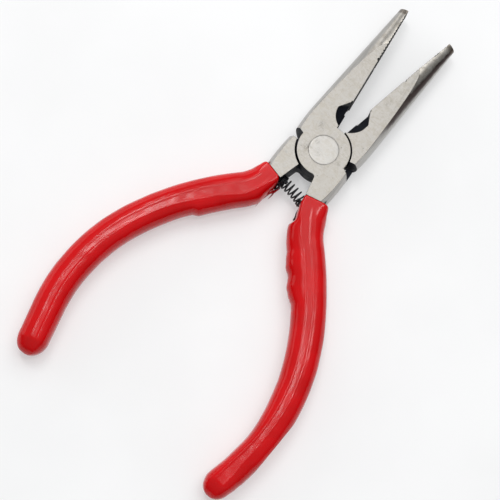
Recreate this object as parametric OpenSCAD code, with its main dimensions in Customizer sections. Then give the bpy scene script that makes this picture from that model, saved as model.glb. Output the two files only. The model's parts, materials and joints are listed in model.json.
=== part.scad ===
// Small long-nose pliers with a half-round tapered nose, side cutters, a lap joint on one
// flush rivet, a coil return spring on two pins, and two dipped grips.
// They lie flat on z = 0. The pivot axis is the Z axis, and +Y runs along the centre line to
// the jaw tips. Each half is drawn closed, jaw on the -X side and handle on the +X side, and
// is then turned open about the pivot. The lower half is the same form turned over.

/* [Head] */
// Thickness of the head between its two ground faces
head_t = 8; // [7.6:0.1:8.2]
// Distance from the pivot to the jaw tips
jaw_len = 42.3; // [38:0.1:46]
// Radius of the closed nose at the tips
tip_r = 2.1; // [1.6:0.1:2.6]
// Largest radius of the turned outer surface, beside the pivot
head_r = 8.6; // [8.5:0.05:9.2]
// Radius of the long barrel curve along the sides of the head
barrel_r = 50; // [40:1:60]
// How far each half is turned from the closed position, in degrees
half_open = 8.8; // [4:0.1:14]

/* [Joint] */
// Radius of the lap disc of each half
disc_r = 6.5; // [6.3:0.05:6.6]
// Radial gap between a disc and the jaw of the other half
jaw_gap = 0.35; // [0.25:0.05:0.5]
// Radial gap between a disc and the handle of the other half
handle_gap = 0.5; // [0.3:0.05:0.6]
// Gap between the two laps
lap_gap = 0.06; // [0.04:0.01:0.12]
// Radius of the rivet's shank
rivet_r = 2.7; // [2.2:0.1:2.9]
// Radius of the rivet's countersunk heads
rivet_head_r = 3.6; // [3.3:0.1:4]
// Depth of each countersunk head
rivet_head_t = 1.3; // [0.8:0.1:2]
// Running clearance between the rivet and the half that turns on it
rivet_clear = 0.05; // [0.03:0.01:0.1]

/* [Jaws] */
// Half of the gap that is left between the jaw faces when they are closed
face_gap = 0.02; // [0.01:0.01:0.1]
// Where the gripping teeth begin, from the pivot
teeth_from = 27.4; // [24:0.1:32]
// Pitch of the gripping teeth
teeth_pitch = 0.9; // [0.7:0.1:1.5]
// Depth of the gripping teeth
teeth_depth = 0.2; // [0.1:0.05:0.4]
// Width of the cutter bevel on the ground face
bevel_w = 2.5; // [2.2:0.1:2.8]
// Depth of the wire hollow between the cutting edge and the jaw face
hollow_depth = 0.3; // [0.1:0.05:0.5]

/* [Handles] */
// Width of the steel tang inside a grip
tang_w = 4.2; // [3.6:0.1:4.4]
// Thickness of the steel tang inside a grip
tang_t = 5.2; // [4:0.1:5.6]
// Width of a grip
grip_w = 7.6; // [7.2:0.1:8]
// Thickness of a grip, a little more than the head
grip_t = 8.2; // [8.2:0.1:8.8]
// Length of the rounded end of a grip
cap_len = 4.2; // [3.5:0.1:5]
// How strongly the finger pads stand out, as a share of their full height
pad_share = 1; // [0.5:0.05:1.05]

/* [Spring] */
// Diameter of the spring wire
wire_d = 0.4; // [0.3:0.01:0.42]
// Mean diameter of the coils
coil_d = 2.7; // [2.5:0.05:2.9]
// Turns that lie close together at the lower half's pin
close_turns = 2.5; // [1:0.5:3]
// Turns that stand open
open_turns = 4.7; // [3:0.1:5]
// Pitch of the close turns
close_pitch = 0.45; // [0.43:0.01:0.6]
// Radius of the two pins that hold the spring
pin_r = 0.75; // [0.6:0.05:0.8]
// Length of a pin that stands free inside the coils
pin_free = 1.2; // [0.8:0.1:1.4]
// Length of a pin that is pressed into the steel
pin_held = 1.8; // [1.2:0.1:2.2]

/* [Hidden] */
$fn = 96;
steel = "#c8c5bc";
spring_black = "#26262a";
red = "#cc1a22";
mid = head_t / 2;
// half width of the drawing, clear of the turned surface
side = head_r + 2;
// how far a cutting shape reaches past the surface that it cuts
past = 1;

// Shoulders of each half, [jaw, neck in the layer of the disc, neck in the other layer]. Each is
// the height at x = side and the height where the shoulder meets the disc.
upper_ears = [[3.1, 1.1], [-4.3, -1.5], [0.35, 0.2]];
lower_ears = [[4.5, 2.75], [-4.5, -1.6], [-4.05, -2.85]];
// Inner edge of the neck, from the disc to the mouth of the grip
neck_top = [1.3, -6];
neck_low = [1.8, -11.4];
fillet_r = 0.9;

// Mouth of each grip, [x, y, heading from -Y towards the outside], and the handle's route from
// there as stretches of [length, turn]. A positive turn bends outward.
upper_mouth = [4.95, -11.4, 5];
upper_route = [[2, 0], [9.2, 32], [25, -17], [28.4, -36], [13, 5.5]];
lower_mouth = [4.15, -12.3, 4];
lower_route = [[2, 0], [6.9, 31], [27.2, -22], [28.7, -37.5], [12.7, 1]];
// The tang stops this far short of the end of the grip
tang_short = 9;
// Root of the tang inside the neck
tang_root = 1.5;
// Clearance of the tang in the grip, and of the grip's mouth from the neck
grip_fit = 0.05;

// Cutter relief on the ground faces: [centre x, centre y, radius, far end at the jaw face]
upper_relief = [2.2, 11.2, 4.6, 14.3];
lower_relief = [3.4, 11.8, 6.05, 15.4];
relief_slope = 1.25;
hollow_from = 11.3;

// Spring pins: distance behind the pivot, x of the steel face, x of the seat of the coils
upper_pin = [-13, 2.95, 1.4];
lower_pin = [-11.3, 1.75, 1.1];
pin_hole_clear = 0.15;

// Inner edge of each grip beyond half of grip_w, [distance along the route, height]. The edge is
// drawn in behind the mouth, steps out to the finger pad, and waves along the right one.
upper_edge = [[0, -0.5], [2, -0.4], [3.9, -0.75], [5.3, -0.8], [6.6, 0.6], [11.6, 0.9], [14, 1.2],
              [16, 1.5], [18.3, 1.05], [21, 1.6], [23.3, 1.25], [24.4, 1], [25.6, 0]];
lower_edge = [[0, -0.9], [2.6, -0.7], [3.9, -0.35], [6, 0.55], [19.5, 0.55], [20.9, -0.1], [24, 0]];

// Rings of the swept shapes
grip_sides = 20;
grip_step = 1.3;
tang_step = 2.2;
wire_sides = 8;
wire_rings = 14;

// ---- routes ------------------------------------------------------------------------------
// The place [x, y, heading] after a distance d, turning by rate degrees a millimetre
function arc_on(at, d, rate) =
    abs(rate) < 0.001
        ? [at[0] + d * sin(at[2]), at[1] - d * cos(at[2]), at[2]]
        : let (r = 180 / PI / rate, h = at[2] + d * rate)
            [at[0] + r * (cos(at[2]) - cos(h)), at[1] - r * (sin(h) - sin(at[2])), h];
function rate_of(stretch) = stretch[1] / stretch[0];
function along(s, at, route, i = 0) =
    i == len(route) - 1 || s <= route[i][0]
        ? arc_on(at, s, rate_of(route[i]))
        : along(s - route[i][0], arc_on(at, route[i][0], rate_of(route[i])), route, i + 1);
function length_to(route, n) = n == 0 ? 0 : route[n - 1][0] + length_to(route, n - 1);
function ramp(x) = let (u = min(1, max(0, x))) u * u * (3 - 2 * u);

// ---- head --------------------------------------------------------------------------------
// Half outline of the turned surface: x is the radius and y the distance along the nose
module turned_outline() {
    centre = [head_r - barrel_r, 1];
    tip = [tip_r, jaw_len];
    lean = atan2(tip[1] - centre[1], tip[0] - centre[0]) - acos(barrel_r / norm(tip - centre));
    touch = centre + barrel_r * [cos(lean), sin(lean)];
    root = touch - [past, past];
    polygon([[0, root[1]], root, touch, tip, [0, jaw_len]]);
    intersection() {
        translate(centre)
            circle(barrel_r, $fn = 360);
        translate([0, -2 * side])
            square([side, touch[1] + 2 * side]);
    }
}

module turned_body() {
    translate([0, 0, mid])
        rotate([-90, 0, 0])
            rotate_extrude($fn = 180)
                turned_outline();
}

module jaw_plan(ear) {
    difference() {
        polygon([[-side, ear[0]], [-disc_r + 0.2, ear[1]], [-face_gap, 0],
                 [-face_gap, jaw_len], [-side, jaw_len]]);
        for (y = [teeth_from : teeth_pitch : jaw_len - teeth_pitch])
            polygon([[0, y], [-teeth_depth - face_gap, y + teeth_pitch * 0.35],
                     [0, y + teeth_pitch * 0.7]]);
        // groove in front of the first tooth
        polygon([[0, teeth_from - 1], [-0.35, teeth_from - 0.7], [-0.35, teeth_from - 0.4],
                 [0, teeth_from - 0.1]]);
    }
}

module neck_plan(ear, mouth) {
    across = [cos(mouth[2]), sin(mouth[2])];
    centre = [mouth[0], mouth[1]];
    inner = centre + across * (neck_low[0] - mouth[0]) / across[0];
    polygon([[0, 0], [disc_r, ear[1]], [side, ear[0]], centre + side * across, inner, neck_top]);
}

// Layer that holds the disc
module lap_plan(ears, mouth) {
    circle(disc_r);
    jaw_plan(ears[0]);
    neck_plan(ears[1], mouth);
    // fillet between the disc and the inner edge of the neck
    translate([neck_top[0] - fillet_r + 0.2, -disc_r - fillet_r])
        difference() {
            square([fillet_r + 0.2, fillet_r + 0.5]);
            circle(fillet_r);
        }
}

// Layer that wraps round the disc of the other half
module wrap_plan(ears, mouth) {
    difference() {
        jaw_plan(ears[0]);
        circle(disc_r + jaw_gap);
    }
    difference() {
        neck_plan(ears[2], mouth);
        circle(disc_r + handle_gap);
    }
}

// Bevel from the upper ground face down to the cutting edge at mid height
module cutter_bevel(relief) {
    intersection() {
        translate([0, relief[3] + relief[2], 0])
            rotate([90, 0, 0])
                linear_extrude(2 * relief[2] + relief[3])
                    polygon([[past, mid], [0, mid], [-bevel_w, head_t],
                             [-bevel_w - past * bevel_w / mid, head_t + past], [past, head_t + past]]);
        linear_extrude(head_t + 2 * past)
            intersection() {
                translate([relief[0], relief[1]])
                    circle(relief[2]);
                polygon([[past, relief[3] + past * relief_slope],
                         [-side, relief[3] - side * relief_slope], [past, 0]]);
            }
    }
}

// Curved bar that follows a handle's route, grown by a clearance
module tang(mouth, route, grow = 0) {
    wide = tang_w / 2 + grow;
    thick = tang_t / 2 + grow;
    stop = length_to(route, len(route)) - tang_short + grow;
    count = ceil((stop + tang_root) / tang_step);
    skin([for (i = [0 : count])
        let (at = along(-tang_root + (stop + tang_root) * i / count, mouth, route),
             out = [cos(at[2]), sin(at[2])])
        [for (c = [[1, 1], [-1, 1], [-1, -1], [1, -1]])
            [at[0] + c[0] * wide * out[0], at[1] + c[0] * wide * out[1], mid + c[1] * thick]]]);
}

// Through profile of the rivet, widened by a running clearance and run past both faces
module rivet_cut(clear) {
    shank = rivet_r + clear;
    rim = rivet_head_r + clear;
    rotate_extrude()
        polygon([[0, -past], [rim, -past], [rim, 0], [shank, rivet_head_t],
                 [shank, head_t - rivet_head_t], [rim, head_t], [rim, head_t + past],
                 [0, head_t + past]]);
}

module pin_solid(pin, r) {
    translate([pin[2] - pin_free, pin[0], mid])
        rotate([0, 90, 0])
            cylinder(r = r, h = pin[1] + pin_held - pin[2] + pin_free);
}

module half(ears, mouth, route, relief, pin) {
    difference() {
        union() {
            intersection() {
                turned_body();
                union() {
                    translate([0, 0, mid + lap_gap / 2])
                        linear_extrude(mid - lap_gap / 2)
                            lap_plan(ears, mouth);
                    linear_extrude(mid + lap_gap / 2)
                        wrap_plan(ears, mouth);
                }
            }
            tang(mouth, route);
        }
        cutter_bevel(relief);
        translate([0, 0, head_t])
            mirror([0, 0, 1])
                cutter_bevel(relief);
        // wire hollow beyond the cutting edge
        translate([-face_gap - hollow_depth, hollow_from, -past])
            cube([past, relief[3] - hollow_from, head_t + 2 * past]);
        pin_solid(pin, pin_r);
    }
}

// Puts a closed form of the lower half's side in place: turned over, then opened
module lower_place() {
    rotate(-half_open)
        translate([0, 0, head_t])
            rotate([0, 180, 0])
                children();
}

module upper_place() {
    rotate(half_open)
        children();
}

module lower_half() {
    color(steel)
        difference() {
            lower_place()
                half(lower_ears, lower_mouth, lower_route, lower_relief, lower_pin);
            rivet_cut(0);
        }
}

module upper_half() {
    color(steel)
        difference() {
            upper_place()
                half(upper_ears, upper_mouth, upper_route, upper_relief, upper_pin);
            rivet_cut(rivet_clear);
        }
}

module pivot_rivet() {
    color(steel)
        rotate_extrude()
            polygon([[0, 0], [rivet_head_r, 0], [rivet_r, rivet_head_t],
                     [rivet_r, head_t - rivet_head_t], [rivet_head_r, head_t], [0, head_t]]);
}

module left_spring_pin() {
    color(steel)
        lower_place()
            pin_solid(lower_pin, pin_r);
}

module right_spring_pin() {
    color(steel)
        upper_place()
            pin_solid(upper_pin, pin_r);
}

// ---- swept shapes ------------------------------------------------------------------------
// Skin over a list of rings that all have the same number of points
module skin(rings) {
    n = len(rings[0]);
    last = len(rings) - 1;
    sides = [for (i = [0 : last - 1], j = [0 : n - 1])
        let (a = i * n + j, b = i * n + (j + 1) % n)
            each [[a, a + n, b], [b, a + n, b + n]]];
    polyhedron(
        points = [for (ring = rings) each ring],
        faces = concat([[for (j = [0 : n - 1]) j]], sides, [[for (j = [n - 1 : -1 : 0]) last * n + j]]),
        convexity = 8);
}

// ---- spring ------------------------------------------------------------------------------
function turned(p, a) = [p[0] * cos(a) - p[1] * sin(a), p[0] * sin(a) + p[1] * cos(a)];
spring_start = turned([-lower_pin[2], lower_pin[0]], -half_open);
spring_end = turned([upper_pin[2], upper_pin[0]], half_open);
spring_run = spring_end - spring_start;
spring_dir = spring_run / norm(spring_run);
seat_gap = wire_d / 2 + 0.04;
free_len = norm(spring_run) - 2 * seat_gap;
close_len = close_turns * close_pitch;
turns = close_turns + open_turns;

function coil_run(t) =
    t < close_turns
        ? t * close_pitch
        : close_len + (t - close_turns) * (free_len - close_len) / open_turns;
function coil_at(t) =
    let (q = spring_start + spring_dir * (seat_gap + coil_run(t)),
         side_dir = [-spring_dir[1], spring_dir[0]],
         r = coil_d / 2,
         a = 360 * t)
    [q[0] + r * cos(a) * side_dir[0], q[1] + r * cos(a) * side_dir[1], mid + r * sin(a)];
function wire_ring(t) =
    let (p = coil_at(t),
         ahead = coil_at(t + 0.01) - coil_at(t - 0.01),
         w = ahead / norm(ahead),
         from_axis = [-spring_dir[1] * cos(360 * t), spring_dir[0] * cos(360 * t), sin(360 * t)],
         v = cross(w, from_axis),
         u = cross(v, w) / norm(v),
         v1 = v / norm(v))
    [for (k = [0 : wire_sides - 1])
        let (b = 360 * k / wire_sides)
            p + wire_d / 2 * (cos(b) * u + sin(b) * v1)];

module return_spring() {
    color(spring_black)
        skin([for (i = [0 : turns * wire_rings]) wire_ring(i / wire_rings)]);
}

// ---- grips -------------------------------------------------------------------------------
function raised(s, edge) =
    let (h = lookup(s, edge))
        h > 0 ? h * pad_share : h;
function powered(c, n) = sign(c) * pow(abs(c), 2 / n);
// One ring of the grip: a squared oval that is squarest at the mouth
function grip_ring(s, mouth, route, edge, total) =
    let (at = along(s, mouth, route),
         u = max(0, (s - total + cap_len) / cap_len),
         shrink = sqrt(max(0.002, 1 - u * u)),
         lip = 0.3 * pow(max(0, 1 - s / 0.45), 2),
         open = ramp(s / 3),
         inner = (grip_w / 2 - lip + raised(s, edge)) * shrink,
         outer = (grip_w / 2 - 0.7 * (1 - open) - lip) * shrink,
         high = (grip_t / 2 - lip * 0.6) * (1 - (1 - shrink) * 0.85),
         n = 2.9 + 5 * (1 - ramp(s / 4)))
    [for (k = [0 : grip_sides - 1])
        let (a = 360 * (k + 0.5) / grip_sides,
             across = (cos(a) > 0 ? outer : inner) * powered(cos(a), n))
        [at[0] + across * cos(at[2]), at[1] + across * sin(at[2]),
         grip_t / 2 + high * powered(sin(a), n)]];

module grip(mouth, route, edge) {
    total = length_to(route, len(route));
    body_end = total - cap_len;
    stations = concat([grip_fit, 0.15, 0.45],
                      [for (s = [1.2 : grip_step : body_end - 0.3]) s],
                      [for (a = [0 : 15 : 90]) body_end + cap_len * sin(a)]);
    difference() {
        skin([for (s = stations) grip_ring(s, mouth, route, edge, total)]);
        tang(mouth, route, grip_fit);
    }
}

module left_grip() {
    color(red)
        rotate(-half_open)
            mirror([1, 0, 0])
                grip(lower_mouth, lower_route, lower_edge);
}

module right_grip() {
    color(red)
        upper_place()
            difference() {
                grip(upper_mouth, upper_route, upper_edge);
                pin_solid(upper_pin, pin_r + pin_hole_clear);
            }
}

lower_half();
upper_half();
pivot_rivet();
return_spring();
left_spring_pin();
right_spring_pin();
left_grip();
right_grip();
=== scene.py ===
"""Looks of the small long-nose pliers: steel halves with softened edges, a peened rivet, a coil
spring between the necks, dipped grips, and the studio around them.

Lengths on the object are in millimetres up to the point where a mesh is made, and the studio is in
metres. The grips and the spring's seats are described on closed pliers and are then turned open
about the pivot, as in the CAD. Everything else is described at rest."""
import json
import math

import bmesh
import bpy
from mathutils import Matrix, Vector, noise


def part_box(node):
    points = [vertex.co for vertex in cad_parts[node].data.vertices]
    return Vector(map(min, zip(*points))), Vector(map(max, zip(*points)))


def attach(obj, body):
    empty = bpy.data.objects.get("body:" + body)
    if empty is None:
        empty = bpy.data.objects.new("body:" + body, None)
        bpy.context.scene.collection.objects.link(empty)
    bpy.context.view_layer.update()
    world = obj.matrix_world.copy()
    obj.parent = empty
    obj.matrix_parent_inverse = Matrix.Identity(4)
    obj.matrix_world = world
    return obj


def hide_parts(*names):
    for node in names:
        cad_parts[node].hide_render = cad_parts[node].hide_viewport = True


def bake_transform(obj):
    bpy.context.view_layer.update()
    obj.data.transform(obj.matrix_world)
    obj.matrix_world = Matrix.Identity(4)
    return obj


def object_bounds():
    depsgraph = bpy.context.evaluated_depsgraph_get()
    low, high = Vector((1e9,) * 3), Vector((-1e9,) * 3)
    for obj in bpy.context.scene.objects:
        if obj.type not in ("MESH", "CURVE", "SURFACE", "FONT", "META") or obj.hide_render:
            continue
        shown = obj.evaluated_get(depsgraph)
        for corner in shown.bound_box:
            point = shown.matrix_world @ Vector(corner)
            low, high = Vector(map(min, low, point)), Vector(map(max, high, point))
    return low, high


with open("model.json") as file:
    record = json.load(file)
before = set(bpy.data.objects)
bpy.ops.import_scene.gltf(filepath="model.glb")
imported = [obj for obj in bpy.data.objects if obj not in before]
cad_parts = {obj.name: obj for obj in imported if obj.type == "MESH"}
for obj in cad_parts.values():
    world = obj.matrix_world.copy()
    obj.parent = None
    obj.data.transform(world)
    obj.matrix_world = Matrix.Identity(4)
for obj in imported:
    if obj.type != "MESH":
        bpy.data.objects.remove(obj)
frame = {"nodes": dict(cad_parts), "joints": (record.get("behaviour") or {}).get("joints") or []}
cad_low, cad_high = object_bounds()

MM = 0.001

# ---- sizes read from the frame -----------------------------------------------------------
RIVET_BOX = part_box("pivot_rivet")
RIVET_R = RIVET_BOX[1].x / MM
# Thickness of the head, and the height of its middle
HEAD_T = RIVET_BOX[1].z / MM
MID = HEAD_T / 2
# The grips are the thickest pieces
GRIP_T = cad_high.z / MM
# Half of the angle between closed and rest, in degrees
HALF_OPEN = -frame["joints"][0]["range_deg"][0] / 2
# The body on each side of the handles, and the degrees that turn each body from closed to rest
BODY_OF = {"right": "upper", "left": "lower"}
OPENING = {"upper": HALF_OPEN, "lower": -HALF_OPEN}

# ---- sizes that repeat the part's own dimensions -----------------------------------------
# Width of a grip, and the length of its rounded end
GRIP_W = 7.6
CAP_LEN = 4.2
# Diameters of the spring's wire and of its coil, and how many turns lie close together
WIRE_D = 0.4
COIL_D = 2.7
CLOSE_TURNS = 2.5
# Where the spring sits on each neck of the closed pliers: [x, y]
LOWER_SEAT = (-1.1, -11.3)
UPPER_SEAT = (1.4, -13.0)

# ---- sizes of the visible pieces ---------------------------------------------------------
# The grips on closed pliers, both as if on the right: the left one is mirrored afterwards.
# mouth: x, y and heading of the centre line at the mouth, in degrees from -Y towards +X.
# route: length of each stretch of the centre line, and the degrees that it bends by.
# edge, taper: distance along the route, and what the inner and the outer side have beyond half
# of GRIP_W there.
# ridges: distance along the route, and the places across the grip of its inner and outer ridge.
GRIPS = {
    "right": {"mouth": (4.95, -11.4, 5.0),
              "route": [(2, 0), (9.2, 32), (25, -17), (28.4, -36), (13, 5.5)],
              "edge": [(0, -0.5), (2, -0.35), (3.9, -0.45), (5.4, -0.5), (5.95, -0.2), (6.5, 0.75),
                       (7.5, 0.9), (11.6, 1.05), (14, 1.45), (16, 1.65), (18.3, 1.2),
                       (21.2, 1.6), (23.3, 1.2), (24.4, 0.8), (25.4, 0.4), (27, 0.3), (33, 0.2),
                       (40, 0.2), (46, 0), (64, -1.05), (68, -1.05), (75, -0.35), (77, -0.1)],
              "taper": [(0, 0), (2, 0.15), (5, 0.4), (18, 0.45), (32, 0.6), (38, 0.5), (46, 0.42),
                        (67, 0.5), (69.4, 0.45), (72, 0.12), (74.5, -0.3), (77, -0.4)],
              "ridges": [(0, -3.2, 0.4), (1.6, -3.0, -0.25), (4.2, -2.6, 0.35), (6.7, -1.66, 0.72),
                         (12.8, -0.98, 0.87), (20.4, -1.0, 0.77), (48, -1.1, 0.55), (60, -1.1, 0.4),
                         (65.5, -1.1, 0.7), (71, -1.3, 1.2), (79, -1.3, 1.1)]},
    "left": {"mouth": (4.15, -12.3, 4.0),
             "route": [(2, 0), (6.9, 31), (27.2, -22), (28.7, -37.5), (12.7, 1)],
             "edge": [(0, -1.5), (1.1, -1.0), (2.6, -0.75), (3.9, -0.35), (6.1, 0.58), (9, 0.7),
                      (17, 0.95), (20.2, 0.95), (22, 0.2), (25, 0.05), (50, 0.05), (60, -0.1),
                      (72, -0.15)],
             "taper": [(0, 0), (8, 0.1), (65, 0.15), (72, 0), (77, -0.2)],
             "ridges": [(0, -1.3, 1.5), (1.7, -1.3, 1.4), (5.4, -1.6, 1.2), (9.3, -2.2, 1.0),
                        (16, -1.6, 0.9), (30, -0.95, 0.85), (60, -0.9, 0.8), (70, -1.03, 0.6),
                        (79, -1.3, 0.2)]},
}
# Torn strips at the mouth of the left grip: points, and the greatest radius
STRIPS = [([(-3.2, -13.9, 3.4), (-3.45, -15.2, 3.3), (-3.85, -16.6, 2.9), (-4.2, -18.4, 2.5),
            (-4.3, -20.2, 2.3)], 0.11),
          ([(-3.1, -14.1, 2.9), (-3.0, -15.3, 2.4), (-3.15, -16.7, 1.9)], 0.13),
          ([(-2.95, -12.7, 4.6), (-2.75, -13.7, 4.2), (-3.0, -14.6, 3.6), (-3.5, -15.5, 3.4)], 0.3),
          ([(-3.1, -13.1, 3.2), (-2.9, -14.2, 2.8), (-3.35, -15.3, 2.5)], 0.24),
          ([(-3.5, -14.6, 5.2), (-3.35, -15.6, 4.9), (-3.8, -16.6, 4.7)], 0.2)]
# Loose end of the wire below the left neck, and the end that lies along the right grip
TANGLE = [(-3.35, -12.35, 3.0), (-3.75, -13.3, 3.3), (-3.35, -14.15, 4.1), (-2.75, -13.7, 5.0),
          (-2.95, -12.9, 5.4), (-3.45, -13.2, 4.7), (-3.2, -13.9, 3.6), (-2.6, -13.2, 3.3)]
TAIL = [(4.1, -13.4, 3.2), (4.35, -14.6, 3.7), (4.6, -15.6, 4.2), (4.95, -16.5, 4.5),
        (5.05, -17.3, 4.2)]
# Places of dark spots on the ground faces: x, y, radius and darkness
PITS = [(2.88, 3.2, 0.22, 0.6), (7.0, 6.5, 0.2, 0.7), (2.81, -5.94, 0.2, 0.6),
        (6.0, -3.99, 0.2, 0.35), (-4.85, -2.66, 0.22, 0.4), (0.36, 1.05, 0.3, 0.25)]
SCUFFS = [(-3.5, -1.95, 1.5, 0.8), (-4.4, 4.7, 1.8, 0.45), (-3.7, 3.9, 1.2, 0.45),
          (-2.4, 0.7, 1.0, 0.5), (-0.5, -1.6, 1.3, 0.35), (0.4, 1.0, 0.7, 0.5), (3.9, -0.7, 1.0, 0.3),
          (-3.5, 1.2, 0.9, 0.4), (4.7, 19.0, 1.6, 0.25), (-2.0, 12.0, 2.5, 0.25)]


# ---- small tools -------------------------------------------------------------------------
def turned(x, y, degrees):
    """A point or a direction turned about the pivot."""
    a = math.radians(degrees)
    return (x * math.cos(a) - y * math.sin(a), x * math.sin(a) + y * math.cos(a))


def within(value, low, high):
    """The value, held between low and high."""
    return min(high, max(low, value))


def ease(x):
    """Smooth step from 0 to 1 as x goes from 0 to 1."""
    u = within(x, 0.0, 1.0)
    return u * u * (3 - 2 * u)


def new_piece(name, points, faces, smooth_angle=None):
    """A mesh object from points in millimetres. Edges over smooth_angle, in degrees, stay sharp."""
    mesh = bpy.data.meshes.new(name)
    mesh.from_pydata([Vector(p) * MM for p in points], [], faces)
    mesh.update()
    mesh.shade_smooth()
    if smooth_angle is not None:
        mesh.set_sharp_from_angle(angle=math.radians(smooth_angle))
    piece = bpy.data.objects.new(name, mesh)
    bpy.context.scene.collection.objects.link(piece)
    return piece


def face_outwards(piece):
    """Turns the faces of a closed piece outwards."""
    form = bmesh.new()
    form.from_mesh(piece.data)
    bmesh.ops.recalc_face_normals(form, faces=form.faces)
    form.to_mesh(piece.data)
    form.free()


def tube(rings):
    """Points and faces of a closed skin over rings that have the same number of points."""
    n = len(rings[0])
    points = [p for ring in rings for p in ring]
    faces = []
    for i in range(len(rings) - 1):
        for j in range(n):
            a, b = i * n + j, i * n + (j + 1) % n
            faces.append((a, b, b + n, a + n))
    faces.append(tuple(range(n - 1, -1, -1)))
    last = (len(rings) - 1) * n
    faces.append(tuple(last + j for j in range(n)))
    return points, faces


def rounded(knots, steps=8):
    """A smooth curve through the knots."""
    curve = []
    for i in range(len(knots) - 1):
        a, b, c, d = (knots[within(k, 0, len(knots) - 1)] for k in (i - 1, i, i + 1, i + 2))
        for j in range(steps):
            t = j / steps
            curve.append(0.5 * (2 * b + (c - a) * t + (2 * a - 5 * b + 4 * c - d) * t ** 2
                                + (3 * b - a - 3 * c + d) * t ** 3))
    curve.append(knots[-1])
    return curve


def wire_rings(path, radii, sides):
    """Round rings along a path of points, with one radius for each point."""
    rings = []
    up = Vector((0.0, 0.0, 1.0))
    for i, (here, r) in enumerate(zip(path, radii)):
        ahead = Vector(path[min(i + 1, len(path) - 1)]) - Vector(path[max(i - 1, 0)])
        ahead.normalize()
        side = ahead.cross(up).normalized()
        up = side.cross(ahead).normalized()
        rings.append([Vector(here) + r * (math.cos(a) * side + math.sin(a) * up)
                      for a in (2 * math.pi * k / sides for k in range(sides))])
    return rings


# ---- materials ---------------------------------------------------------------------------
class Shader:
    """A Principled material whose patterns are in millimetres in the piece's own frame."""

    def __init__(self, name, **values):
        self.material = bpy.data.materials.new(name)
        self.material.use_nodes = True
        self.nodes = self.material.node_tree.nodes
        self.links = self.material.node_tree.links
        self.bsdf = self.nodes["Principled BSDF"]
        for socket, value in values.items():
            self.bsdf.inputs[socket.replace("_", " ")].default_value = value
        self.mm = self.place(self.nodes.new("ShaderNodeTexCoord").outputs["Object"], scale=1 / MM)

    def put(self, value, socket):
        """Links another node's output to a socket, or sets the socket to a number or a colour."""
        if isinstance(value, bpy.types.NodeSocket):
            self.links.new(value, socket)
        else:
            socket.default_value = value

    def place(self, vector, scale=1.0, turn=0.0, move=(0, 0, 0)):
        """Coordinates scaled, turned about Z by degrees, and moved."""
        node = self.nodes.new("ShaderNodeMapping")
        self.put(vector, node.inputs["Vector"])
        node.inputs["Scale"].default_value = scale if isinstance(scale, tuple) else (scale,) * 3
        node.inputs["Rotation"].default_value = (0, 0, math.radians(turn))
        node.inputs["Location"].default_value = move
        return node.outputs["Vector"]

    def math(self, operation, *values):
        """The result of an operation on numbers or on other nodes' outputs."""
        node = self.nodes.new("ShaderNodeMath")
        node.operation = operation
        for i, value in enumerate(values):
            self.put(value, node.inputs[i])
        return node.outputs["Value"]

    def split(self, vector):
        """The x, y and z of coordinates."""
        node = self.nodes.new("ShaderNodeSeparateXYZ")
        self.put(vector, node.inputs[0])
        return node.outputs["X"], node.outputs["Y"], node.outputs["Z"]

    def flat(self, x, y):
        """Coordinates with no height."""
        node = self.nodes.new("ShaderNodeCombineXYZ")
        self.put(x, node.inputs[0])
        self.put(y, node.inputs[1])
        return node.outputs[0]

    def distance(self, x, y):
        """Distance from an upright line through (x, y), in millimetres."""
        here_x, here_y, _ = self.split(self.mm)
        node = self.nodes.new("ShaderNodeVectorMath")
        node.operation = "DISTANCE"
        self.put(self.flat(here_x, here_y), node.inputs[0])
        node.inputs[1].default_value = (x, y, 0)
        return node.outputs["Value"]

    def noise(self, vector, scale, detail=4.0, roughness=0.55, distortion=0.0):
        """Soft noise from 0 to 1, with scale features in each millimetre."""
        node = self.nodes.new("ShaderNodeTexNoise")
        self.put(vector, node.inputs["Vector"])
        node.inputs["Scale"].default_value = scale
        node.inputs["Detail"].default_value = detail
        node.inputs["Roughness"].default_value = roughness
        node.inputs["Distortion"].default_value = distortion
        return node.outputs["Fac"]

    def specks(self, scale, size, dark=1.0):
        """Small scattered dots, as a share that falls from dark to 0."""
        node = self.nodes.new("ShaderNodeTexVoronoi")
        self.put(self.mm, node.inputs["Vector"])
        node.inputs["Scale"].default_value = scale
        return self.levels(node.outputs["Distance"], 0.0, size, dark, 0)

    def levels(self, value, low, high, out_low=0.0, out_high=1.0):
        """Smooth step from out_low at low to out_high at high."""
        node = self.nodes.new("ShaderNodeMapRange")
        node.interpolation_type = "SMOOTHSTEP"
        for socket, number in (("From Min", low), ("From Max", high),
                               ("To Min", out_low), ("To Max", out_high)):
            node.inputs[socket].default_value = number
        self.put(value, node.inputs["Value"])
        return node.outputs["Result"]

    def mix(self, share, a, b):
        """Colour a where share is 0 and colour b where it is 1."""
        node = self.nodes.new("ShaderNodeMix")
        node.data_type = "RGBA"
        self.put(share, node.inputs["Factor"])
        self.put(a, node.inputs[6])
        self.put(b, node.inputs[7])
        return node.outputs[2]

    def bump(self, height, depth_mm):
        """Normals of a relief that is depth_mm deep where height goes from 0 to 1."""
        node = self.nodes.new("ShaderNodeBump")
        node.inputs["Strength"].default_value = 1.0
        node.inputs["Distance"].default_value = depth_mm * MM
        self.put(height, node.inputs["Height"])
        return node.outputs["Normal"]

    def finish(self, colour, roughness, normal):
        """The finished material. Where roughness is None, it keeps its set value."""
        self.put(colour, self.bsdf.inputs["Base Color"])
        self.put(normal, self.bsdf.inputs["Normal"])
        if roughness is not None:
            self.put(roughness, self.bsdf.inputs["Roughness"])
        return self.material


def grey(value, warm=0.0):
    """A grey that turns slightly yellow as warm rises."""
    return (value * (1 + warm), value, value * (1 - 1.6 * warm), 1)


# Families of scratches: direction in degrees, and an offset that makes each family its own
SCRATCHES = ((31, 3.0), (-58, 9.0), (75, 21.0), (8, 33.0))


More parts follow.
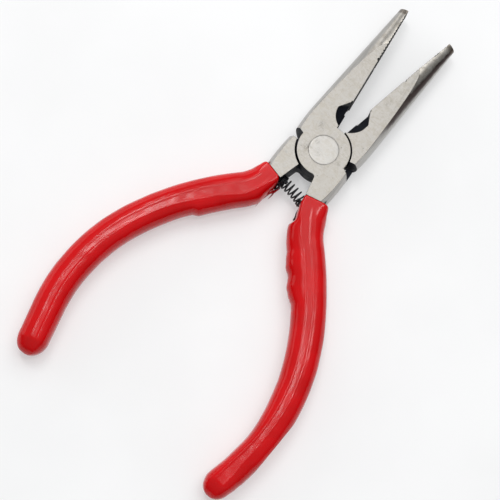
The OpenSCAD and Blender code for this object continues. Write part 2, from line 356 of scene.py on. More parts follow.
def scratches(s):
    """Short thin scratches in several directions, as one share from 0 to 1."""
    strokes = None
    for turn, offset in SCRATCHES:
        run = s.place(s.mm, scale=(0.3, 2.6, 1), turn=turn, move=(offset, offset, 0))
        lines = s.math("ABSOLUTE", s.math("SUBTRACT", s.noise(run, 0.8, 2, 0.5), 0.5))
        some = s.levels(s.noise(s.place(s.mm, move=(offset, 0, 0)), 0.7, 3), 0.56, 0.68)
        line = s.math("MULTIPLY", s.levels(lines, 0.0, 0.012, 1, 0), some)
        strokes = line if strokes is None else s.math("MAXIMUM", strokes, line)
    return strokes


def worn_grey(s, light, dark, warm):
    """Mottled grey of ground steel: belt marks, blotches of rolling stain and short scratches.
    Returns the colour, the height pattern and the blotches."""
    belt = s.noise(s.place(s.mm, scale=(0.6, 3.2, 1), turn=24), 1.0, 6, 0.72, 0.4)
    cross_belt = s.noise(s.place(s.mm, scale=(0.6, 3.0, 1), turn=-52), 1.2, 5, 0.7, 0.4)
    blotch = s.noise(s.mm, 0.75, 6, 0.7, 0.5)
    cloud = s.noise(s.mm, 0.22, 3, 0.5)
    grain = s.noise(s.mm, 5.5, 3, 0.7)
    tone = s.math("MULTIPLY_ADD", belt, 0.13, s.math("MULTIPLY", cross_belt, 0.13))
    tone = s.math("MULTIPLY_ADD", blotch, 0.5, tone)
    tone = s.math("MULTIPLY_ADD", grain, 0.14, tone)
    colour = s.mix(s.levels(tone, 0.36, 0.54), grey(dark, warm * 1.8), grey(light, warm))
    colour = s.mix(s.levels(cloud, 0.5, 0.75, 0, 0.3), colour, grey(dark, warm * 2.2))
    strokes = scratches(s)
    colour = s.mix(s.math("MULTIPLY", strokes, 0.35), colour, grey(dark * 0.45, warm))
    height = s.math("MULTIPLY_ADD", belt, 0.25, s.math("MULTIPLY", cross_belt, 0.2))
    height = s.math("MULTIPLY_ADD", strokes, -0.4, height)
    return colour, height, blotch


def marks(s, pits, scuffs):
    """Scattered specks, and pits and ragged smudges at set places, as one share from 0 to 1."""
    dark = s.specks(scale=0.5, size=0.06, dark=0.5)
    for x, y, radius, depth in pits:
        spot = s.levels(s.distance(x, y), radius * 0.4, radius, depth, 0)
        dark = s.math("MAXIMUM", dark, spot)
    smear = s.noise(s.place(s.mm, scale=(1.9, 0.8, 1), turn=35), 1.5, 5, 0.72, 0.6)
    ragged = s.levels(smear, 0.47, 0.6)
    for x, y, radius, depth in scuffs:
        patch = s.levels(s.distance(x, y), 0, radius, depth, 0)
        dark = s.math("MAXIMUM", dark, s.math("MULTIPLY", patch, ragged))
    return dark


def steel_ground():
    """Satin face off the grinding belt, stained and scuffed by use."""
    s = Shader("steel_ground", Metallic=1.0, Specular_IOR_Level=0.5)
    colour, height, blotch = worn_grey(s, light=0.275, dark=0.19, warm=0.04)
    dark = marks(s, PITS, SCUFFS)
    colour = s.mix(dark, colour, grey(0.035, 0.1))
    # burr and grime around the rivet
    rim = RIVET_R + 0.08
    ring = s.math("ABSOLUTE", s.math("SUBTRACT", s.distance(0, 0), rim))
    grime = s.math("MULTIPLY", s.levels(ring, 0.0, 0.4, 1, 0), s.levels(blotch, 0.42, 0.62))
    colour = s.mix(s.math("MULTIPLY", grime, 0.5), colour, grey(0.07, 0.08))
    rough = s.levels(blotch, 0.3, 0.7, 0.34, 0.5)
    return s.finish(colour, rough, s.bump(s.math("MULTIPLY_ADD", dark, -0.5, height), 0.014))


# Dark band painted along the flank of the nose, a painted reflection of the dim room in the polished
# steel: where it fades in from the joint, and its colour
FLANK_REFLECTION_FROM = 9.0
FLANK_REFLECTION_FULL = 18.0
FLANK_REFLECTION_COLOUR = (0.03, 0.016, 0.014, 1)
# Dark brown end of the nose
BROWN_FROM = 40.7
BROWN_FULL = 41.4
BROWN_COLOUR = (0.1, 0.075, 0.055, 1)
# Angle from the level, in radians, at which the flank gives way to the top of the nose
TOP_FROM = 0.78
TOP_FULL = 0.95


def painted_flank_reflection(s, closed, around, y, depth):
    """A painted dark reflection: a band along the flank that is soft at its two edges, as a share
    from 0 to depth.
    """
    ragged = s.math("MULTIPLY_ADD", s.noise(closed, 0.6, 4, 0.6), 0.3, s.math("ABSOLUTE", around))
    dark_reflection = s.math("MULTIPLY", s.levels(ragged, 0.4, 0.72), s.levels(ragged, 0.92, 1.15, 1, 0))
    return s.math("MULTIPLY", dark_reflection, s.levels(y, FLANK_REFLECTION_FROM, FLANK_REFLECTION_FULL, 0, depth))


def steel_turned(body, polish, dark_reflection):
    """Polished round outside of the nose on one half. polish is how bright it is, and the last
    argument is the depth of the dark band painted along its flank, a painted reflection of the dim
    room."""
    s = Shader("steel_turned_" + body, Metallic=1.0, Specular_IOR_Level=0.5)
    closed = s.place(s.mm, turn=-OPENING[body])
    x, y, z = s.split(closed)
    around = s.math("ARCTAN2", s.math("SUBTRACT", z, MID), s.math("ABSOLUTE", x))
    along = s.flat(s.math("MULTIPLY", around, 9.0), s.math("MULTIPLY", y, 0.13))
    streak = s.noise(along, 1.0, 5, 0.6)
    fine = s.noise(s.place(closed, scale=(6, 0.8, 6)), 1.5, 5, 0.7)
    colour = s.mix(s.levels(streak, 0.3, 0.7), grey(polish * 0.7, 0.03), grey(polish, 0.03))
    colour = s.mix(s.levels(fine, 0.35, 0.7, 0, 0.3), colour, grey(0.16, 0.04))
    # the belt that ground the flat faces also ran over the top of the nose. Its grey is painted much
    # lighter there than on the flat faces, a painted sheen that stands in for the ceiling light which
    # the sloping top doesn't mirror
    top, _, _ = worn_grey(s, light=0.45, dark=0.32, warm=0.045)
    colour = s.mix(s.levels(s.math("ABSOLUTE", around), TOP_FROM, TOP_FULL), colour, top)
    # painted reflection: a dark band along the flank, where the polished nose would mirror the dim
    # room
    colour = s.mix(painted_flank_reflection(s, closed, around, y, dark_reflection), colour, FLANK_REFLECTION_COLOUR)
    colour = s.mix(s.levels(y, BROWN_FROM, BROWN_FULL, 0, 0.65), colour, BROWN_COLOUR)
    rough = s.levels(fine, 0.3, 0.7, 0.26, 0.36)
    return s.finish(colour, rough, s.bump(s.math("ADD", fine, streak), 0.01))


def steel_dark():
    """Near-black faces in the recesses and on the side walls, blue black with a rough pattern."""
    s = Shader("steel_dark", Metallic=0.1, Specular_IOR_Level=0.15)
    scale = s.noise(s.mm, 1.3, 6, 0.65)
    patch = s.noise(s.mm, 0.4, 3)
    colour = s.mix(s.levels(scale, 0.35, 0.7), (0.003, 0.0035, 0.007, 1), (0.011, 0.013, 0.021, 1))
    colour = s.mix(s.levels(patch, 0.5, 0.75, 0, 0.4), colour, (0.018, 0.021, 0.027, 1))
    rough = s.levels(scale, 0.3, 0.7, 0.45, 0.7)
    return s.finish(colour, rough, s.bump(scale, 0.04))


def steel_jaw():
    """Milled inner face of the jaws, darker than the ground faces."""
    s = Shader("steel_jaw", Metallic=0.5, Specular_IOR_Level=0.15)
    cut = s.noise(s.place(s.mm, scale=(4, 0.7, 4)), 1.6, 5, 0.65)
    colour = s.mix(s.levels(cut, 0.3, 0.7), grey(0.02, 0.04), grey(0.065, 0.04))
    rough = s.levels(cut, 0.3, 0.7, 0.6, 0.8)
    return s.finish(colour, rough, s.bump(cut, 0.02))


def steel_rivet():
    """Peened end of the rivet, a little brighter than the head and ground at its own angle."""
    s = Shader("steel_rivet", Metallic=1.0, Specular_IOR_Level=0.5)
    colour, height, blotch = worn_grey(s, light=0.3, dark=0.235, warm=0.03)
    belt = s.noise(s.place(s.mm, scale=(0.35, 4.5, 1), turn=-38), 1.2, 5, 0.7)
    colour = s.mix(s.levels(belt, 0.45, 0.7, 0, 0.5), colour, grey(0.22, 0.03))
    colour = s.mix(marks(s, [], SCUFFS), colour, grey(0.05, 0.06))
    rough = s.levels(blotch, 0.3, 0.7, 0.34, 0.46)
    return s.finish(colour, rough, s.bump(s.math("MULTIPLY_ADD", belt, 0.5, height), 0.012))


def rivet_seam():
    """Edge of the rivet: a dark crack that is closed with burr in places."""
    s = Shader("rivet_seam", Metallic=0.8, Specular_IOR_Level=0.4)
    closed = s.levels(s.noise(s.mm, 0.45, 4, 0.6), 0.42, 0.6)
    colour = s.mix(closed, (0.03, 0.03, 0.032, 1), grey(0.24, 0.03))
    rough = s.levels(closed, 0.0, 1.0, 0.6, 0.42)
    return s.finish(colour, rough, s.bump(s.noise(s.mm, 4.0, 3), 0.03))


def spring_black():
    """Black oxide on drawn wire, rubbed grey in places."""
    s = Shader("spring_black", Metallic=0.5, Specular_IOR_Level=0.5)
    drawn = s.noise(s.mm, 2.6, 5, 0.6)
    worn = s.levels(s.noise(s.mm, 0.9, 4, 0.7), 0.62, 0.75)
    colour = s.mix(s.levels(drawn, 0.35, 0.7), (0.006, 0.006, 0.008, 1), (0.02, 0.02, 0.024, 1))
    colour = s.mix(s.math("MULTIPLY", worn, 0.35), colour, grey(0.12))
    rough = s.levels(drawn, 0.3, 0.7, 0.24, 0.42)
    return s.finish(colour, rough, s.bump(drawn, 0.012))


def dipped_vinyl(name, light=1.0):
    """Glossy dipped coat: slow ripples, a fine orange peel, dust specks and small rub marks. light
    is how bright its red is; below 1 it gives a darker copy with shade painted into the red."""
    s = Shader(name, Specular_IOR_Level=0.25)
    ripple = s.noise(s.mm, 0.16, 3, 0.5)
    peel = s.noise(s.mm, 2.2, 3, 0.5)
    pores = s.specks(scale=1.15, size=0.08)
    rub = s.levels(s.noise(s.place(s.mm, scale=(0.5, 2.4, 1), turn=30), 0.8, 6, 0.75), 0.6, 0.78)
    colour = s.mix(s.levels(ripple, 0.3, 0.7), (0.5 * light, 0.0006, 0.0015, 1),
                   (0.58 * light, 0.001, 0.003, 1))
    colour = s.mix(s.math("MULTIPLY", rub, 0.18), colour, (0.75, 0.08, 0.09, 1))
    colour = s.mix(s.math("MULTIPLY", pores, 0.25), colour, (0.2, 0.002, 0.004, 1))
    rough = s.math("ADD", s.levels(peel, 0.3, 0.7, 0.13, 0.19), s.math("MULTIPLY", rub, 0.15))
    height = s.math("ADD", s.math("MULTIPLY", ripple, 3.0), s.math("MULTIPLY", peel, 0.2))
    height = s.math("SUBTRACT", height, s.math("MULTIPLY", pores, 0.4))
    return s.finish(colour, rough, s.bump(height, 0.02))


def paper_floor():
    """Matt white paper, lit from within a little so that it stays even."""
    s = Shader("paper_floor", Roughness=0.85, Specular_IOR_Level=0.1, Emission_Strength=0.38,
               Emission_Color=(1, 1, 1, 1))
    cloud = s.noise(s.mm, 0.02, 3)
    fibre = s.noise(s.mm, 1.5, 4)
    colour = s.mix(s.levels(cloud, 0.3, 0.7), grey(0.5), grey(0.53))
    return s.finish(colour, None, s.bump(fibre, 0.01))


# ---- steel halves ------------------------------------------------------------------------
# Finishes of a half, in the order of its material slots
GROUND, TURNED, DARK, JAW = range(4)
# A ground face is level, and lies in the top or the underside of the head
LEVEL = 0.995
LEVEL_GAP = 0.02
# A turned face looks away from the nose's axis and not along it, outside its core
AWAY = 0.9
ALONG = 0.6
CORE_R = 1.7
# The inner faces of the jaws start beyond the joint and lie close to the plane between the jaws
JAW_FROM = 8.0
JAW_GAP = 0.45
# The blunt ends of the jaws are turned too
TIP_FROM = 40
TIP_ALONG = 0.8
# Width of the softened edges. In degrees, the least angle of an edge that is softened, and of one
# that stays sharp in the shading.
EDGE = 0.07
EDGE_ANGLE = 32
SMOOTH_ANGLE = 24
# CAD triangles within this angle, in degrees, are joined into one face, and points this close, in
# metres, become one
FLAT_ANGLE = 0.4
SAME_POINT = 1e-6


def face_kind(centre, normal, body):
    """Which finish a face of a half has, from where it lies and looks on the closed pliers."""
    if abs(normal.z) > LEVEL and min(abs(centre.z), abs(centre.z - HEAD_T)) < LEVEL_GAP:
        return GROUND
    x, y = turned(centre.x, centre.y, -OPENING[body])
    nx, ny = turned(normal.x, normal.y, -OPENING[body])
    outward = Vector((x, centre.z - MID))
    if outward.length > CORE_R and abs(ny) < ALONG:
        if outward.normalized().dot(Vector((nx, normal.z))) > AWAY:
            return TURNED
    if y > JAW_FROM and abs(x) < JAW_GAP:
        return JAW
    if y > TIP_FROM and abs(ny) > TIP_ALONG:
        return TURNED
    return DARK


def half_form(body):
    """Points, faces and finishes of a CAD half, with its flat faces made whole."""
    form = bmesh.new()
    form.from_mesh(frame["nodes"][body + "_half"].data)
    bmesh.ops.remove_doubles(form, verts=form.verts, dist=SAME_POINT)
    bmesh.ops.dissolve_limit(form, angle_limit=math.radians(FLAT_ANGLE), verts=form.verts,
                             edges=form.edges)
    form.normal_update()
    points = [v.co / MM for v in form.verts]
    faces = [tuple(v.index for v in f.verts) for f in form.faces]
    kinds = [face_kind(f.calc_center_median() / MM, f.normal, body) for f in form.faces]
    form.free()
    return points, faces, kinds


def steel_half(body, materials):
    """The CAD half's form as a new mesh, with its sharp edges rounded and a finish on each face."""
    points, faces, kinds = half_form(body)
    piece = new_piece(body + "_steel", points, faces, SMOOTH_ANGLE)
    for material in materials:
        piece.data.materials.append(material)
    for face, kind in zip(piece.data.polygons, kinds):
        face.material_index = kind
    soften = piece.modifiers.new("soften", "BEVEL")
    soften.width = EDGE * MM
    soften.segments = 2
    soften.limit_method = "ANGLE"
    soften.angle_limit = math.radians(EDGE_ANGLE)
    soften.use_clamp_overlap = False
    soften.harden_normals = True
    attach(piece, body)
    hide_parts(body + "_half")


# ---- rivet -------------------------------------------------------------------------------
RIVET_SIDES = 128
# The peened ends fill the play around the shank almost to the wall of the hole
SWELL = 0.035
# Rounding and unevenness of their rims, and how far the upper end is crowned
RIM = 0.03
WOBBLE = 0.012
CROWN = 0.025
# Radius of the shank between them
SHANK_R = 2.7
# Depth below each end at which the seam's finish starts
SEAM_DEPTH = 0.1


def rivet_outline():
    """Radius and height down the side of the rivet, and whether it is part of a rim."""
    top = [(share * RIVET_R, HEAD_T, False) for share in (0.02, 0.25, 0.5, 0.75, 0.9)]
    top += [(RIVET_R - RIM * 1.8, HEAD_T, True),
            (RIVET_R - RIM * 0.6, HEAD_T - RIM * 0.35, True),
            (RIVET_R - RIM * 0.1, HEAD_T - RIM * 1.2, True),
            (RIVET_R - 0.3, HEAD_T - 0.45, False),
            (SHANK_R, HEAD_T - 1.3, False)]
    bottom = [(r, HEAD_T - z, in_rim) for r, z, in_rim in reversed(top)]
    return top + [(SHANK_R, MID, False)] + bottom


def rivet_ring(r, z, in_rim):
    """One round of the rivet's surface."""
    rise = CROWN * (1 - (r / RIVET_R) ** 2) if z == HEAD_T else 0
    ring = []
    for k in range(RIVET_SIDES):
        a = 2 * math.pi * k / RIVET_SIDES
        reach = r
        if in_rim:
            reach += WOBBLE * noise.noise((3 * math.cos(a), 3 * math.sin(a), z)) + SWELL
        ring.append((reach * math.cos(a), reach * math.sin(a), z + rise))
    return ring


def rivet(material, seam):
    """Turned rivet with an uneven rim at each peened end, the upper one a hair proud."""
    points, faces = tube([rivet_ring(*place) for place in rivet_outline()])
    piece = new_piece("rivet_peened", points, faces, smooth_angle=50)
    piece.data.materials.append(material)
    piece.data.materials.append(seam)
    for face in piece.data.polygons:
        centre = face.center / MM
        at_rim = math.hypot(centre.x, centre.y) > RIVET_R - RIM * 1.2
        if at_rim or SEAM_DEPTH < centre.z < HEAD_T - SEAM_DEPTH:
            face.material_index = 1
    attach(piece, "lower")
    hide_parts("pivot_rivet")


# ---- grips -------------------------------------------------------------------------------
# Points around each flank and across the flat band of a section
ARC_POINTS = 14
BAND_POINTS = 10
# Sections: where they lie in the lip, where the even ones start, and how far those are apart
LIP_STATIONS = [0.05, 0.12, 0.22, 0.35, 0.5, 0.7, 0.95]
EVEN_FROM = 1.2
EVEN_STEP = 0.45
# The two low ridges along the upper and the lower side: their height and width, the distance at
# which they start to rise and over which they do, and where they end on the rounded end
RIDGE_H = 0.09
RIDGE_W = 0.22
RIDGE_FROM = 1.2
RIDGE_RISE = 2.5
RIDGE_END = 0.02
RIDGE_FALL = 0.12
# The greatest share of each side's width at which a ridge may lie
RIDGE_REACH = 0.8
# The mouth: a rounded lip, a bead behind it, and the stretch over which the outer side widens
LIP = 0.3
LIP_LEN = 0.45
BEAD = 0.08
BEAD_AT = 0.9
BEAD_W = 0.5
WIDEN = 0.6
WIDEN_LEN = 3.5
# How square the sections are, how much squarer they are at the mouth, and over what distance
SQUARE = 2.2
SQUARE_MOUTH = 2.2
SQUARE_LEN = 4
# The rounded end: roundness of its inner and outer side and of its tip, where its upper side starts
# to slope, and how far that slopes down
END_INNER = 1.9
END_OUTER = 2.4
END_TIP = 7
SLOPE_FROM = 0.1
SLOPE = 0.55
# Waves of the dipped skin: their height, their share across, the height over which they fade out
# at the sides, and where each grip is in their pattern
SKIN = 0.035
SKIN_ACROSS = 0.3
SKIN_FADE = 3
SKIN_PLACE = {"left": 3.0, "right": 11.0}
# Sizes of the rings that close the mouth, as shares of the first section
MOUTH_RINGS = (0.8, 0.9)
# Torn strips: their radius at the ends as a share, and how uneven they are
STRIP_END = 0.15
STRIP_UNEVEN = 0.35


def step_on(at, distance, rate):
    """The place (x, y, heading) after a distance, turning by rate degrees a millimetre."""
    x, y, heading = at
    a = math.radians(heading)
    if rate == 0:
        return (x + distance * math.sin(a), y - distance * math.cos(a), heading)
    r = 180 / math.pi / rate
    new_heading = heading + distance * rate
    b = math.radians(new_heading)
    return (x + r * (math.cos(a) - math.cos(b)), y - r * (math.sin(b) - math.sin(a)), new_heading)


def place_at(s, mouth, route):
    """The place (x, y, heading) on a centre line at the distance s from its mouth."""
    at = mouth
    for i, (length, bend) in enumerate(route):
        if s <= length or i == len(route) - 1:
            return step_on(at, s, bend / length)
        at = step_on(at, length, bend / length)
        s -= length


def between(s, stations, column=1):
    """Value at s, eased from each station to the next."""
    last = stations[0]
    for here in stations[1:]:
        if s <= here[0]:
            share = ease((s - last[0]) / (here[0] - last[0]))
            return last[column] + share * (here[column] - last[column])
        last = here
    return last[column]


def rounded_off(u, power, least):
    """Share of the width that is left at u on a rounded end, where u goes from 0 to 1."""
    return max(least, 1 - u ** power) ** (1 / power)


def grip_sides(s, u, lip, form):
    """How far the inner and the outer side lie from the centre line."""
    bead = BEAD * math.exp(-((s - BEAD_AT) / BEAD_W) ** 2)
    widen = WIDEN * (1 - ease(s / WIDEN_LEN))
    inner = (GRIP_W / 2 - lip + between(s, form["edge"])) * rounded_off(u, END_INNER, 0.02)
    outer = GRIP_W / 2 - widen - lip + bead + between(s, form["taper"])
    return inner, outer * rounded_off(u, END_OUTER, 0.01)


def grip_height(u, lip):
    """Half of a grip's thickness between its ridges."""
    v = max(0.0, (u - SLOPE_FROM) / (1 - SLOPE_FROM))
    body = GRIP_T / 2 - RIDGE_H - lip * 0.6
    return body * (1 - SLOPE * v ** 1.25) * max(0.01, 1 - v ** END_TIP) ** 0.5


def top_share(x, left, right, inner, outer, power):
    """Height of the upper side at x, as a share: a flat band between two rounded flanks."""
    if x > right:
        share = (x - right) / (outer - right)
    elif x < left:
        share = (left - x) / (inner + left)
    else:
        return 1.0
    return max(0.0, 1 - min(1.0, share) ** power) ** (1 / power)


def section_places(left, right, inner, outer, power):
    """Places across a section from the outer side to the inner one, closer where it is steep."""
    shares = [math.sin(math.pi / 2 * (j / ARC_POINTS) ** 1.25) ** (2 / power)
              for j in range(1, ARC_POINTS + 1)]
    places = [right + (outer - right) * share for share in reversed(shares)]
    places += [right + (left - right) * j / BAND_POINTS for j in range(BAND_POINTS + 1)]
    return places + [left - (inner + left) * share for share in shares]


def grip_section(s, total, form):
    """One ring of a grip as (across, height) from its centre line. The inner side is at -X."""
    u = max(0.0, (s - total + CAP_LEN) / CAP_LEN)
    lip = LIP * max(0.0, 1 - s / LIP_LEN) ** 2
    inner, outer = grip_sides(s, u, lip, form)
    high = grip_height(u, lip)
    left = max(between(s, form["ridges"]), -inner * RIDGE_REACH)
    right = min(between(s, form["ridges"], 2), outer * RIDGE_REACH)
    power = SQUARE + SQUARE_MOUTH * (1 - ease(s / SQUARE_LEN))
    crest = RIDGE_H * ease((s - RIDGE_FROM) / RIDGE_RISE) * (1 - ease((u - RIDGE_END) / RIDGE_FALL))
    upper = []
    for x in section_places(left, right, inner, outer, power):
        h = high * top_share(x, left, right, inner, outer, power)
        ridge = math.exp(-(min(abs(x - left), abs(x - right)) / RIDGE_W) ** 2)
        near_top = h > high * 0.7
        upper.append((x, h + crest * ridge * near_top))
    return upper + [(x, -h) for x, h in reversed(upper[1:-1])]


def grip_stations(total):
    """Distances along a grip at which it has a ring, closer at its lip and its rounded end."""
    body_end = total - CAP_LEN
    count = int((body_end - EVEN_FROM) / EVEN_STEP)
    even = [EVEN_FROM + (body_end - EVEN_FROM) * i / count for i in range(count)]
    end = [body_end + CAP_LEN * math.sin(math.radians(a)) for a in range(0, 90, 6)]
    return LIP_STATIONS + even + end + [total - 0.002]


def grip_ring(side, s, total):
    """One ring of a grip at rest, with the waves of its skin, held to the CAD box."""
    form = GRIPS[side]
    x, y, heading = place_at(s, form["mouth"], form["route"])
    h = math.radians(heading)
    mirror = -1 if side == "left" else 1
    ring = []
    for across, up in grip_section(s, total, form):
        skin = SKIN * noise.noise((s * 0.35 + SKIN_PLACE[side], across * 0.5, up * 0.5))
        px = mirror * (x + across * (1 + skin * SKIN_ACROSS) * math.cos(h))
        px, py = turned(px, y + across * math.sin(h), OPENING[BODY_OF[side]])
        pz = GRIP_T / 2 + up + skin * ease(abs(up) / SKIN_FADE)
        ring.append((within(px, cad_low.x / MM, cad_high.x / MM), max(py, cad_low.y / MM),
                     within(pz, 0.0, GRIP_T)))
    return ring[::mirror]


def grip(side, material):
    """Dipped sleeve swept along the handle, closed at the mouth where the neck goes in."""
    total = sum(length for length, _ in GRIPS[side]["route"])
    rings = [grip_ring(side, s, total) for s in grip_stations(total)]
    centre = sum((Vector(p) for p in rings[0]), Vector()) / len(rings[0])
    mouth = [[centre + (Vector(p) - centre) * share for p in rings[0]] for share in MOUTH_RINGS]
    points, faces = tube(mouth + rings)
    piece = new_piece(side + "_grip_dipped", points, faces)
    face_outwards(piece)
    piece.data.materials.append(material)
    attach(piece, BODY_OF[side])
    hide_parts(side + "_grip")


def strip_radii(path, greatest):
    """Radii along a torn strip, thin towards its ends and uneven between them."""
    radii = []
    for i, p in enumerate(path):
        along = min(1, (i + 2) / len(path))
        swell = STRIP_END + (1 - STRIP_END) * math.sin(math.pi * along) ** 0.6
        radii.append(greatest * swell * (1 + STRIP_UNEVEN * noise.noise(p * 2.5)))
    return radii


def torn_strips(material):
    """Threads and shreds of the vinyl skin where the spring has torn the mouth of the grip."""
    points, faces = [], []
    for knots, greatest in STRIPS:
        path = rounded([Vector(k) for k in knots])
        more, sides = tube(wire_rings(path, strip_radii(path, greatest), 8))
        faces += [tuple(len(points) + k for k in side) for side in sides]
        points += more
    piece = new_piece("left_grip_shreds", points, faces)
    piece.data.materials.append(material)
    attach(piece, "lower")


# ---- spring ------------------------------------------------------------------------------
# The open turns, and the share of the axis that the close turns take up
OPEN_TURNS = 6.5
CLOSE_SHARE = 0.13
PER_TURN = 32
WIRE_SIDES = 14
# From each seat to the end of the coil's axis, and the axis's direction and pull at its two ends
START_SHIFT = Vector((-0.5, -0.4, 0))
END_SHIFT = Vector((0.75, -0.12, 0))
LEAVE = Vector((1, -0.06, 0)) * 5
ARRIVE = Vector((1, -0.62, 0)) * 5
# Tangle of the close turns: how much wider and how uneven they are, as shares of the radius, how
# far they slip along the axis, and how many turns before the open ones it starts to fade
WIDER = 0.1
UNEVEN = 0.16
SLIP = 0.3
FADE_BEFORE = 0.6
# The studs' length and radius, as shares of the CAD pins'
PIN_LENGTH = 0.85
PIN_SLIM = 0.6


def axis_share(t):
    """Share of the axis that the wire has passed after t turns."""
    if t < CLOSE_TURNS:
        return CLOSE_SHARE * t / CLOSE_TURNS
    return CLOSE_SHARE + (1 - CLOSE_SHARE) * (t - CLOSE_TURNS) / OPEN_TURNS


def on_axis(q, start, end):
    """Place and direction at the share q of the coil's axis, one smooth curve from start to end."""
    place = ((2 * q ** 3 - 3 * q ** 2 + 1) * start + (q ** 3 - 2 * q ** 2 + q) * LEAVE
             + (3 * q ** 2 - 2 * q ** 3) * end + (q ** 3 - q ** 2) * ARRIVE)
    ahead = ((6 * q ** 2 - 6 * q) * (start - end) + (3 * q ** 2 - 4 * q + 1) * LEAVE
             + (3 * q ** 2 - 2 * q) * ARRIVE)
    return place, ahead.normalized()


def coil_point(t, start, end):
    """Where the wire is after t turns. The close turns are tangled."""
    place, ahead = on_axis(axis_share(t), start, end)
    across = Vector((-ahead.y, ahead.x, 0))
    a = 2 * math.pi * t + math.pi
    tangle = 1 - ease(t - CLOSE_TURNS + FADE_BEFORE)
    wander = noise.noise((t * 0.8, 4.2, 0.0))
    r = COIL_D / 2 * (1 + tangle * (WIDER + UNEVEN * wander))
    slip = tangle * SLIP * noise.noise((t * 1.1, 9.1, 0.0))
    return place + ahead * slip + r * (math.cos(a) * across + math.sin(a) * Vector((0, 0, 1)))


def spring(material):
    """Coil whose axis bends from the left neck to the right one, with the two ends of its wire."""
    start = Vector(turned(*LOWER_SEAT, OPENING["lower"]) + (MID,)) + START_SHIFT
    end = Vector(turned(*UPPER_SEAT, OPENING["upper"]) + (MID,)) + END_SHIFT
    count = int((CLOSE_TURNS + OPEN_TURNS) * PER_TURN)
    coil = [coil_point(i / PER_TURN, start, end) for i in range(count + 1)]
    path = rounded([Vector(p) for p in TANGLE] + [coil[0]])[:-1] + coil
    path += rounded([coil[-1]] + [Vector(p) for p in TAIL])[1:]
    points, faces = tube(wire_rings(path, [WIRE_D / 2] * len(path), WIRE_SIDES))
    piece = new_piece("spring_coil", points, faces)
    piece.data.materials.append(material)
    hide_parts("return_spring")
    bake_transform(piece)


def spring_pin(side, material):
    """Slim stud inside the end of the coil, from the form of the CAD pin. Its axis is across the
    closed handles."""
    node = side + "_spring_pin"
    axis = Vector(turned(1, 0, OPENING[BODY_OF[side]]) + (0,))
    mesh = frame["nodes"][node].data
    points = [v.co / MM for v in mesh.vertices]
    centre = sum(points, Vector()) / len(points)
    slim = []
    for p in points:
        along = (p - centre).dot(axis) * axis
        slim.append(centre + along * PIN_LENGTH + (p - centre - along) * PIN_SLIM)
    faces = [tuple(f.vertices) for f in mesh.polygons]
    piece = new_piece(side + "_stud", slim, faces, smooth_angle=40)
    piece.data.materials.append(material)
    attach(piece, BODY_OF[side])
    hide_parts(node)


# ---- studio, in metres -------------------------------------------------------------------
CAMERA_PLACE = (0.03133, -0.09643, 0.3503)
CAMERA_TURN = (11.477, -3.260, 39.542)
CAMERA_LENS = 106.7
# The point that the ground faces mirror to the camera, where the ceiling light hangs
MIRROR_POINT = (-0.07, 0.17, 0.8)
# Powers of the lights, in watts
CEILING = 1.02
BACK = 2.5
STRIP_LEFT = 1.4
STRIP_RIGHT = 0.7
WALL = 1.3
# From the mirror point to each strip light
STRIP_ACROSS = 0.21
STRIP_NEARER = 0.03
STRIP_LOWER = 0.05
# Strength of the room's light at the horizon and overhead, the height at which it is full, and
# its colour
HORIZON = 0.12
ZENITH = 0.55
FULL_HEIGHT = 0.8
ROOM_COLOUR = (0.96, 0.98, 1.0, 1)
# Half of the floor's width
FLOOR_HALF = 1.5


def camera():
    """Looks down on the open pliers, a little from the handles' side."""
    data = bpy.data.cameras.new("camera")
    data.lens = CAMERA_LENS
    data.sensor_width = 36
    data.clip_start = 0.01
    data.clip_end = 20
    eye = bpy.data.objects.new("camera", data)
    eye.location = CAMERA_PLACE
    eye.rotation_euler = [math.radians(a) for a in CAMERA_TURN]
    bpy.context.scene.collection.objects.link(eye)
    bpy.context.scene.camera = eye


def soft_light(name, place, size, power, target=(0, -0.02, 0)):
    """A rectangular light that faces its target."""
    data = bpy.data.lights.new(name, "AREA")
    data.shape = "RECTANGLE"
    data.size, data.size_y = size
    data.energy = power
    lamp = bpy.data.objects.new(name, data)
    lamp.location = place
    lamp.rotation_euler = (Vector(target) - Vector(place)).to_track_quat("-Z", "Y").to_euler()
    bpy.context.scene.collection.objects.link(lamp)


def floor(material):
    """The surface that the pliers lie on."""
    half = FLOOR_HALF / MM
    points = [(-half, -half, 0), (half, -half, 0), (half, half, 0), (-half, half, 0)]
    piece = new_piece("floor", points, [(0, 1, 2, 3)])
    piece.data.materials.append(material)


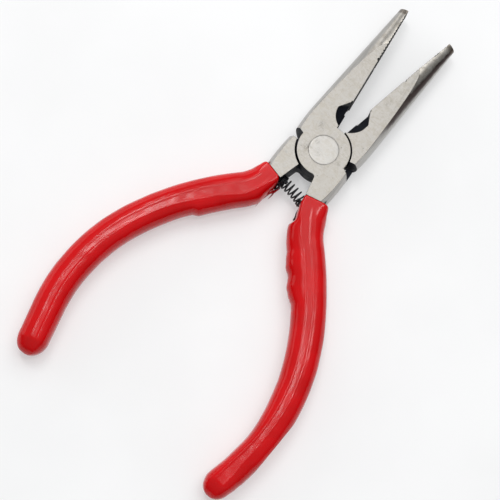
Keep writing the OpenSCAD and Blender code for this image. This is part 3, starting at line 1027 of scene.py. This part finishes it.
def lights():
    """A ceiling that the ground faces mirror, a strip on each side of it, and two fill lights."""
    x, y, z = MIRROR_POINT
    strip_y, strip_z = y - STRIP_NEARER, z - STRIP_LOWER
    soft_light("ceiling", MIRROR_POINT, (0.5, 0.5), CEILING)
    soft_light("back", (-0.07, 0.6, 0.75), (0.8, 0.5), BACK, target=(0, 0, 0))
    soft_light("strip_left", (x - STRIP_ACROSS, strip_y, strip_z), (0.09, 0.34), STRIP_LEFT)
    soft_light("strip_right", (x + STRIP_ACROSS, strip_y, strip_z), (0.05, 0.3), STRIP_RIGHT)
    soft_light("wall", (-0.6, 0.1, 0.16), (1.0, 0.3), WALL, target=(0, 0.02, 0.02))


def sky():
    """Dim room around the lights: darker at the horizon than overhead."""
    world = bpy.data.worlds.new("studio")
    bpy.context.scene.world = world
    world.use_nodes = True
    nodes, links = world.node_tree.nodes, world.node_tree.links
    split = nodes.new("ShaderNodeSeparateXYZ")
    links.new(nodes.new("ShaderNodeTexCoord").outputs["Generated"], split.inputs[0])
    fade = nodes.new("ShaderNodeMapRange")
    fade.interpolation_type = "SMOOTHSTEP"
    for socket, number in (("From Min", 0.0), ("From Max", FULL_HEIGHT),
                           ("To Min", HORIZON), ("To Max", ZENITH)):
        fade.inputs[socket].default_value = number
    links.new(split.outputs["Z"], fade.inputs["Value"])
    links.new(fade.outputs["Result"], nodes["Background"].inputs["Strength"])
    nodes["Background"].inputs["Color"].default_value = ROOM_COLOUR


# ---- build -------------------------------------------------------------------------------
ground = steel_ground()
dark = steel_dark()
jaw = steel_jaw()
camera()
# the lower half's nose gets a painted dark reflection along its flank, the upper one none
steel_half("upper", [ground, steel_turned("upper", polish=0.46, dark_reflection=0.0), dark, jaw])
steel_half("lower", [ground, steel_turned("lower", polish=0.5, dark_reflection=0.95), dark, jaw])
rivet(steel_rivet(), rivet_seam())
black = spring_black()
spring(black)
spring_pin("left", black)
spring_pin("right", black)
vinyl = dipped_vinyl("dipped_vinyl")
grip("right", vinyl)
grip("left", vinyl)
# the torn shreds get the grip's red darkened to 0.6, painted shade where they lie low at the mouth of
# the left grip beside the spring
torn_strips(dipped_vinyl("torn_vinyl_shaded", light=0.6))
bpy.context.scene.view_settings.view_transform = "Standard"
floor(paper_floor())
lights()
sky()
